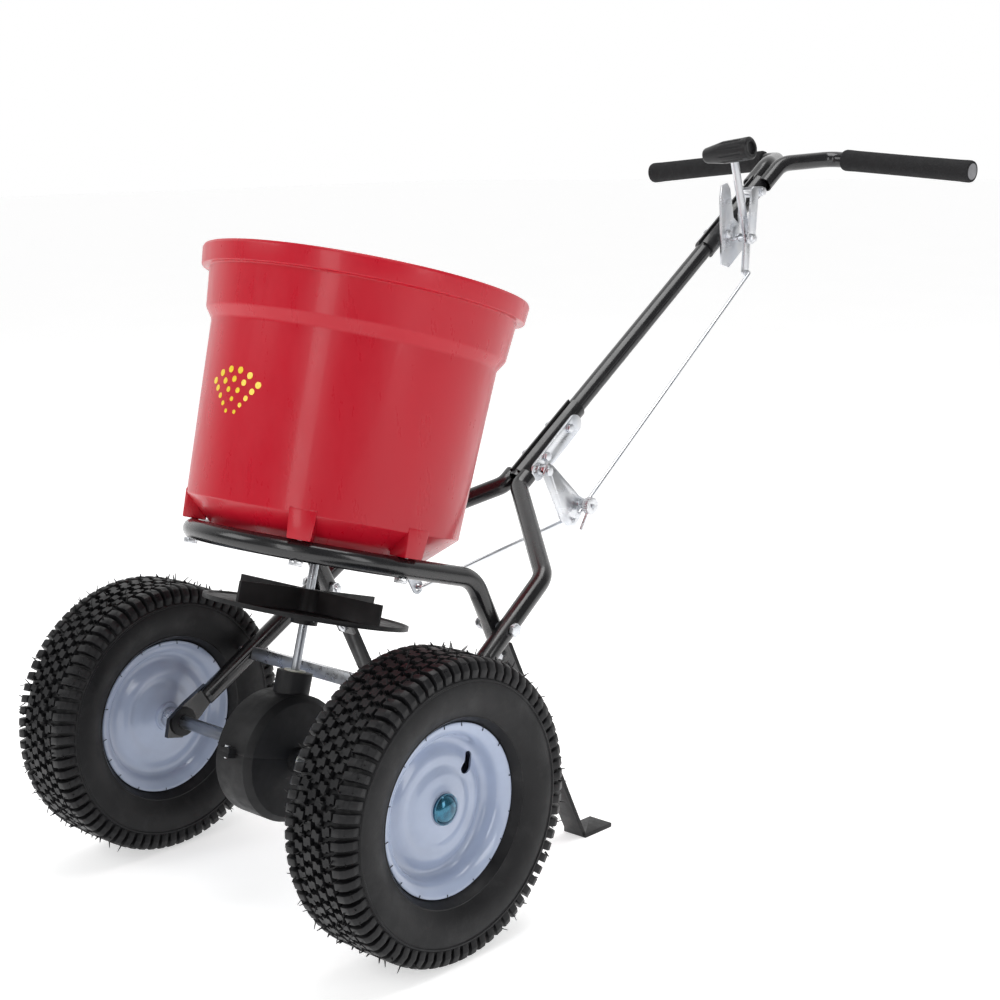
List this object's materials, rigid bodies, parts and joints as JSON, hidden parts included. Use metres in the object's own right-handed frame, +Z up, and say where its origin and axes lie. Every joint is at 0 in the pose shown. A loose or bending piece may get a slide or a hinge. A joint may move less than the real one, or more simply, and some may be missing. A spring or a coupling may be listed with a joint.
{
  "type": "broadcast spreader",
  "caption": "Walk-behind broadcast spreader with a round red hopper, bevel-driven impeller, pneumatic wheels, tube frame and a lever-operated gate.",
  "frame": {"origin": "centre of the whole spreader's footprint box, on the floor", "axes": "+Z up, +Y back from the hopper towards the handle, +X towards the operator's left"},
  "size_m": [0.568, 1.1823, 0.8199],
  "materials": {
    "hopper_plastic": "glossy red",
    "frame_paint": "gloss black powder coat",
    "leg_paint": "satin black powder coat",
    "zinc_steel": "bright zinc plate",
    "plain_steel": "plain steel",
    "rim_paint": "light blue grey gloss paint",
    "tyre_rubber": "matt black rubber",
    "valve_rubber": "matt black rubber",
    "grip_foam": "matt dark grey foam",
    "black_plastic": "matt black",
    "grip_plastic": "satin black",
    "plug_plastic": "matt grey",
    "cap_paint": "metallic blue",
    "nylon": "natural nylon",
    "gear_steel": "sintered steel"
  },
  "bodies": {
    "frame": {"hopper": "hopper_plastic", "hopper_bolts": "zinc_steel", "hopper_ring": "frame_paint", "left_wheel_arm": "frame_paint", "right_wheel_arm": "frame_paint", "handle_stem": "frame_paint", "left_handlebar": "frame_paint", "left_grip": "grip_foam", "left_end_plug": "plug_plastic", "left_stand_leg": "leg_paint", "right_handlebar": "frame_paint", "right_grip": "grip_foam", "right_end_plug": "plug_plastic", "right_stand_leg": "leg_paint", "cross_brace": "zinc_steel", "frame_bolts": "zinc_steel", "leg_bolts": "zinc_steel", "stem_bolts": "zinc_steel", "gate_guide": "black_plastic", "guide_screws": "zinc_steel", "gearbox_upper": "black_plastic", "gearbox_lower": "black_plastic", "gearbox_screws": "zinc_steel", "gearbox_bushes": "nylon", "shaft_bush": "nylon", "arm_bushes": "black_plastic", "axle_washers": "zinc_steel", "lever_bracket": "zinc_steel", "lever_pivot_bolt": "zinc_steel", "crank_bracket": "zinc_steel", "crank_pin": "zinc_steel"},
    "drive_axle": {"axle": "plain_steel", "crown_gear": "nylon", "wheel_pin": "plain_steel", "hub_caps": "cap_paint", "right_tyre": "tyre_rubber", "right_rim": "rim_paint", "right_valve": "valve_rubber", "right_hub_bushes": "nylon"},
    "left_wheel": {"left_tyre": "tyre_rubber", "left_rim": "rim_paint", "left_valve": "valve_rubber", "left_hub_bushes": "nylon"},
    "spinner": {"impeller_shaft": "plain_steel", "pinion": "gear_steel", "impeller": "black_plastic", "agitator": "plain_steel", "shaft_pins": "plain_steel"},
    "lever": {"control_lever": "zinc_steel", "lever_grip": "grip_plastic"},
    "pull_rod": {"upper_rod": "zinc_steel", "adjuster_block": "plain_steel"},
    "thumb_wheel": {"adjuster_knob": "zinc_steel"},
    "crank": {"bell_crank": "zinc_steel"},
    "gate_rod": {"lower_rod": "zinc_steel", "rod_cotter": "plain_steel"},
    "gate": {"gate_plate": "plain_steel"}
  },
  "joints": [
    {"name": "axle_spin", "type": "hinge", "parent": "frame", "child": "drive_axle", "pos_m": [0, -0.43317, 0.158], "axis": [1, 0, 0], "continuous": true},
    {"name": "left_wheel_spin", "type": "hinge", "parent": "drive_axle", "child": "left_wheel", "pos_m": [0.236, -0.43317, 0.158], "axis": [1, 0, 0], "continuous": true},
    {"name": "spinner_spin", "type": "hinge", "parent": "frame", "child": "spinner", "pos_m": [0, -0.38858, 0.30854], "axis": [0, 0.284, 0.9588], "continuous": true},
    {"name": "lever_swing", "type": "hinge", "parent": "frame", "child": "lever", "pos_m": [0.028, 0.39755, 0.68267], "axis": [1, 0, 0], "range_deg": [0, 35]},
    {"name": "pull_rod_swing", "type": "hinge", "parent": "lever", "child": "pull_rod", "pos_m": [0.028, 0.39278, 0.63663], "axis": [1, 0, 0], "range_deg": [-37.91, 0]},
    {"name": "thumb_wheel_turn", "type": "hinge", "parent": "pull_rod", "child": "thumb_wheel", "pos_m": [0.04, 0.04167, 0.36673], "axis": [1, 0, 0], "continuous": true},
    {"name": "crank_swing", "type": "hinge", "parent": "frame", "child": "crank", "pos_m": [0.028, -0.01636, 0.4173], "axis": [1, 0, 0], "range_deg": [0, 19.75]},
    {"name": "gate_rod_swing", "type": "hinge", "parent": "crank", "child": "gate_rod", "pos_m": [0.026, 0.02803, 0.34887], "axis": [1, 0, 0], "range_deg": [-13.9, 0]},
    {"name": "gate_slide", "type": "slide", "parent": "frame", "child": "gate", "axis": [0, 0.9588, -0.284], "range_m": [0, 0.02745]}
  ],
  "couplings": [
    {"joint": "spinner_spin", "follows": "axle_spin", "ratio": -4},
    {"joint": "pull_rod_swing", "follows": "lever_swing", "ratio": -1.0828},
    {"joint": "crank_swing", "follows": "lever_swing", "ratio": 0.564},
    {"joint": "gate_rod_swing", "follows": "lever_swing", "ratio": -0.397},
    {"joint": "gate_slide", "follows": "lever_swing", "m_per_rad": 0.0449}
  ]
}
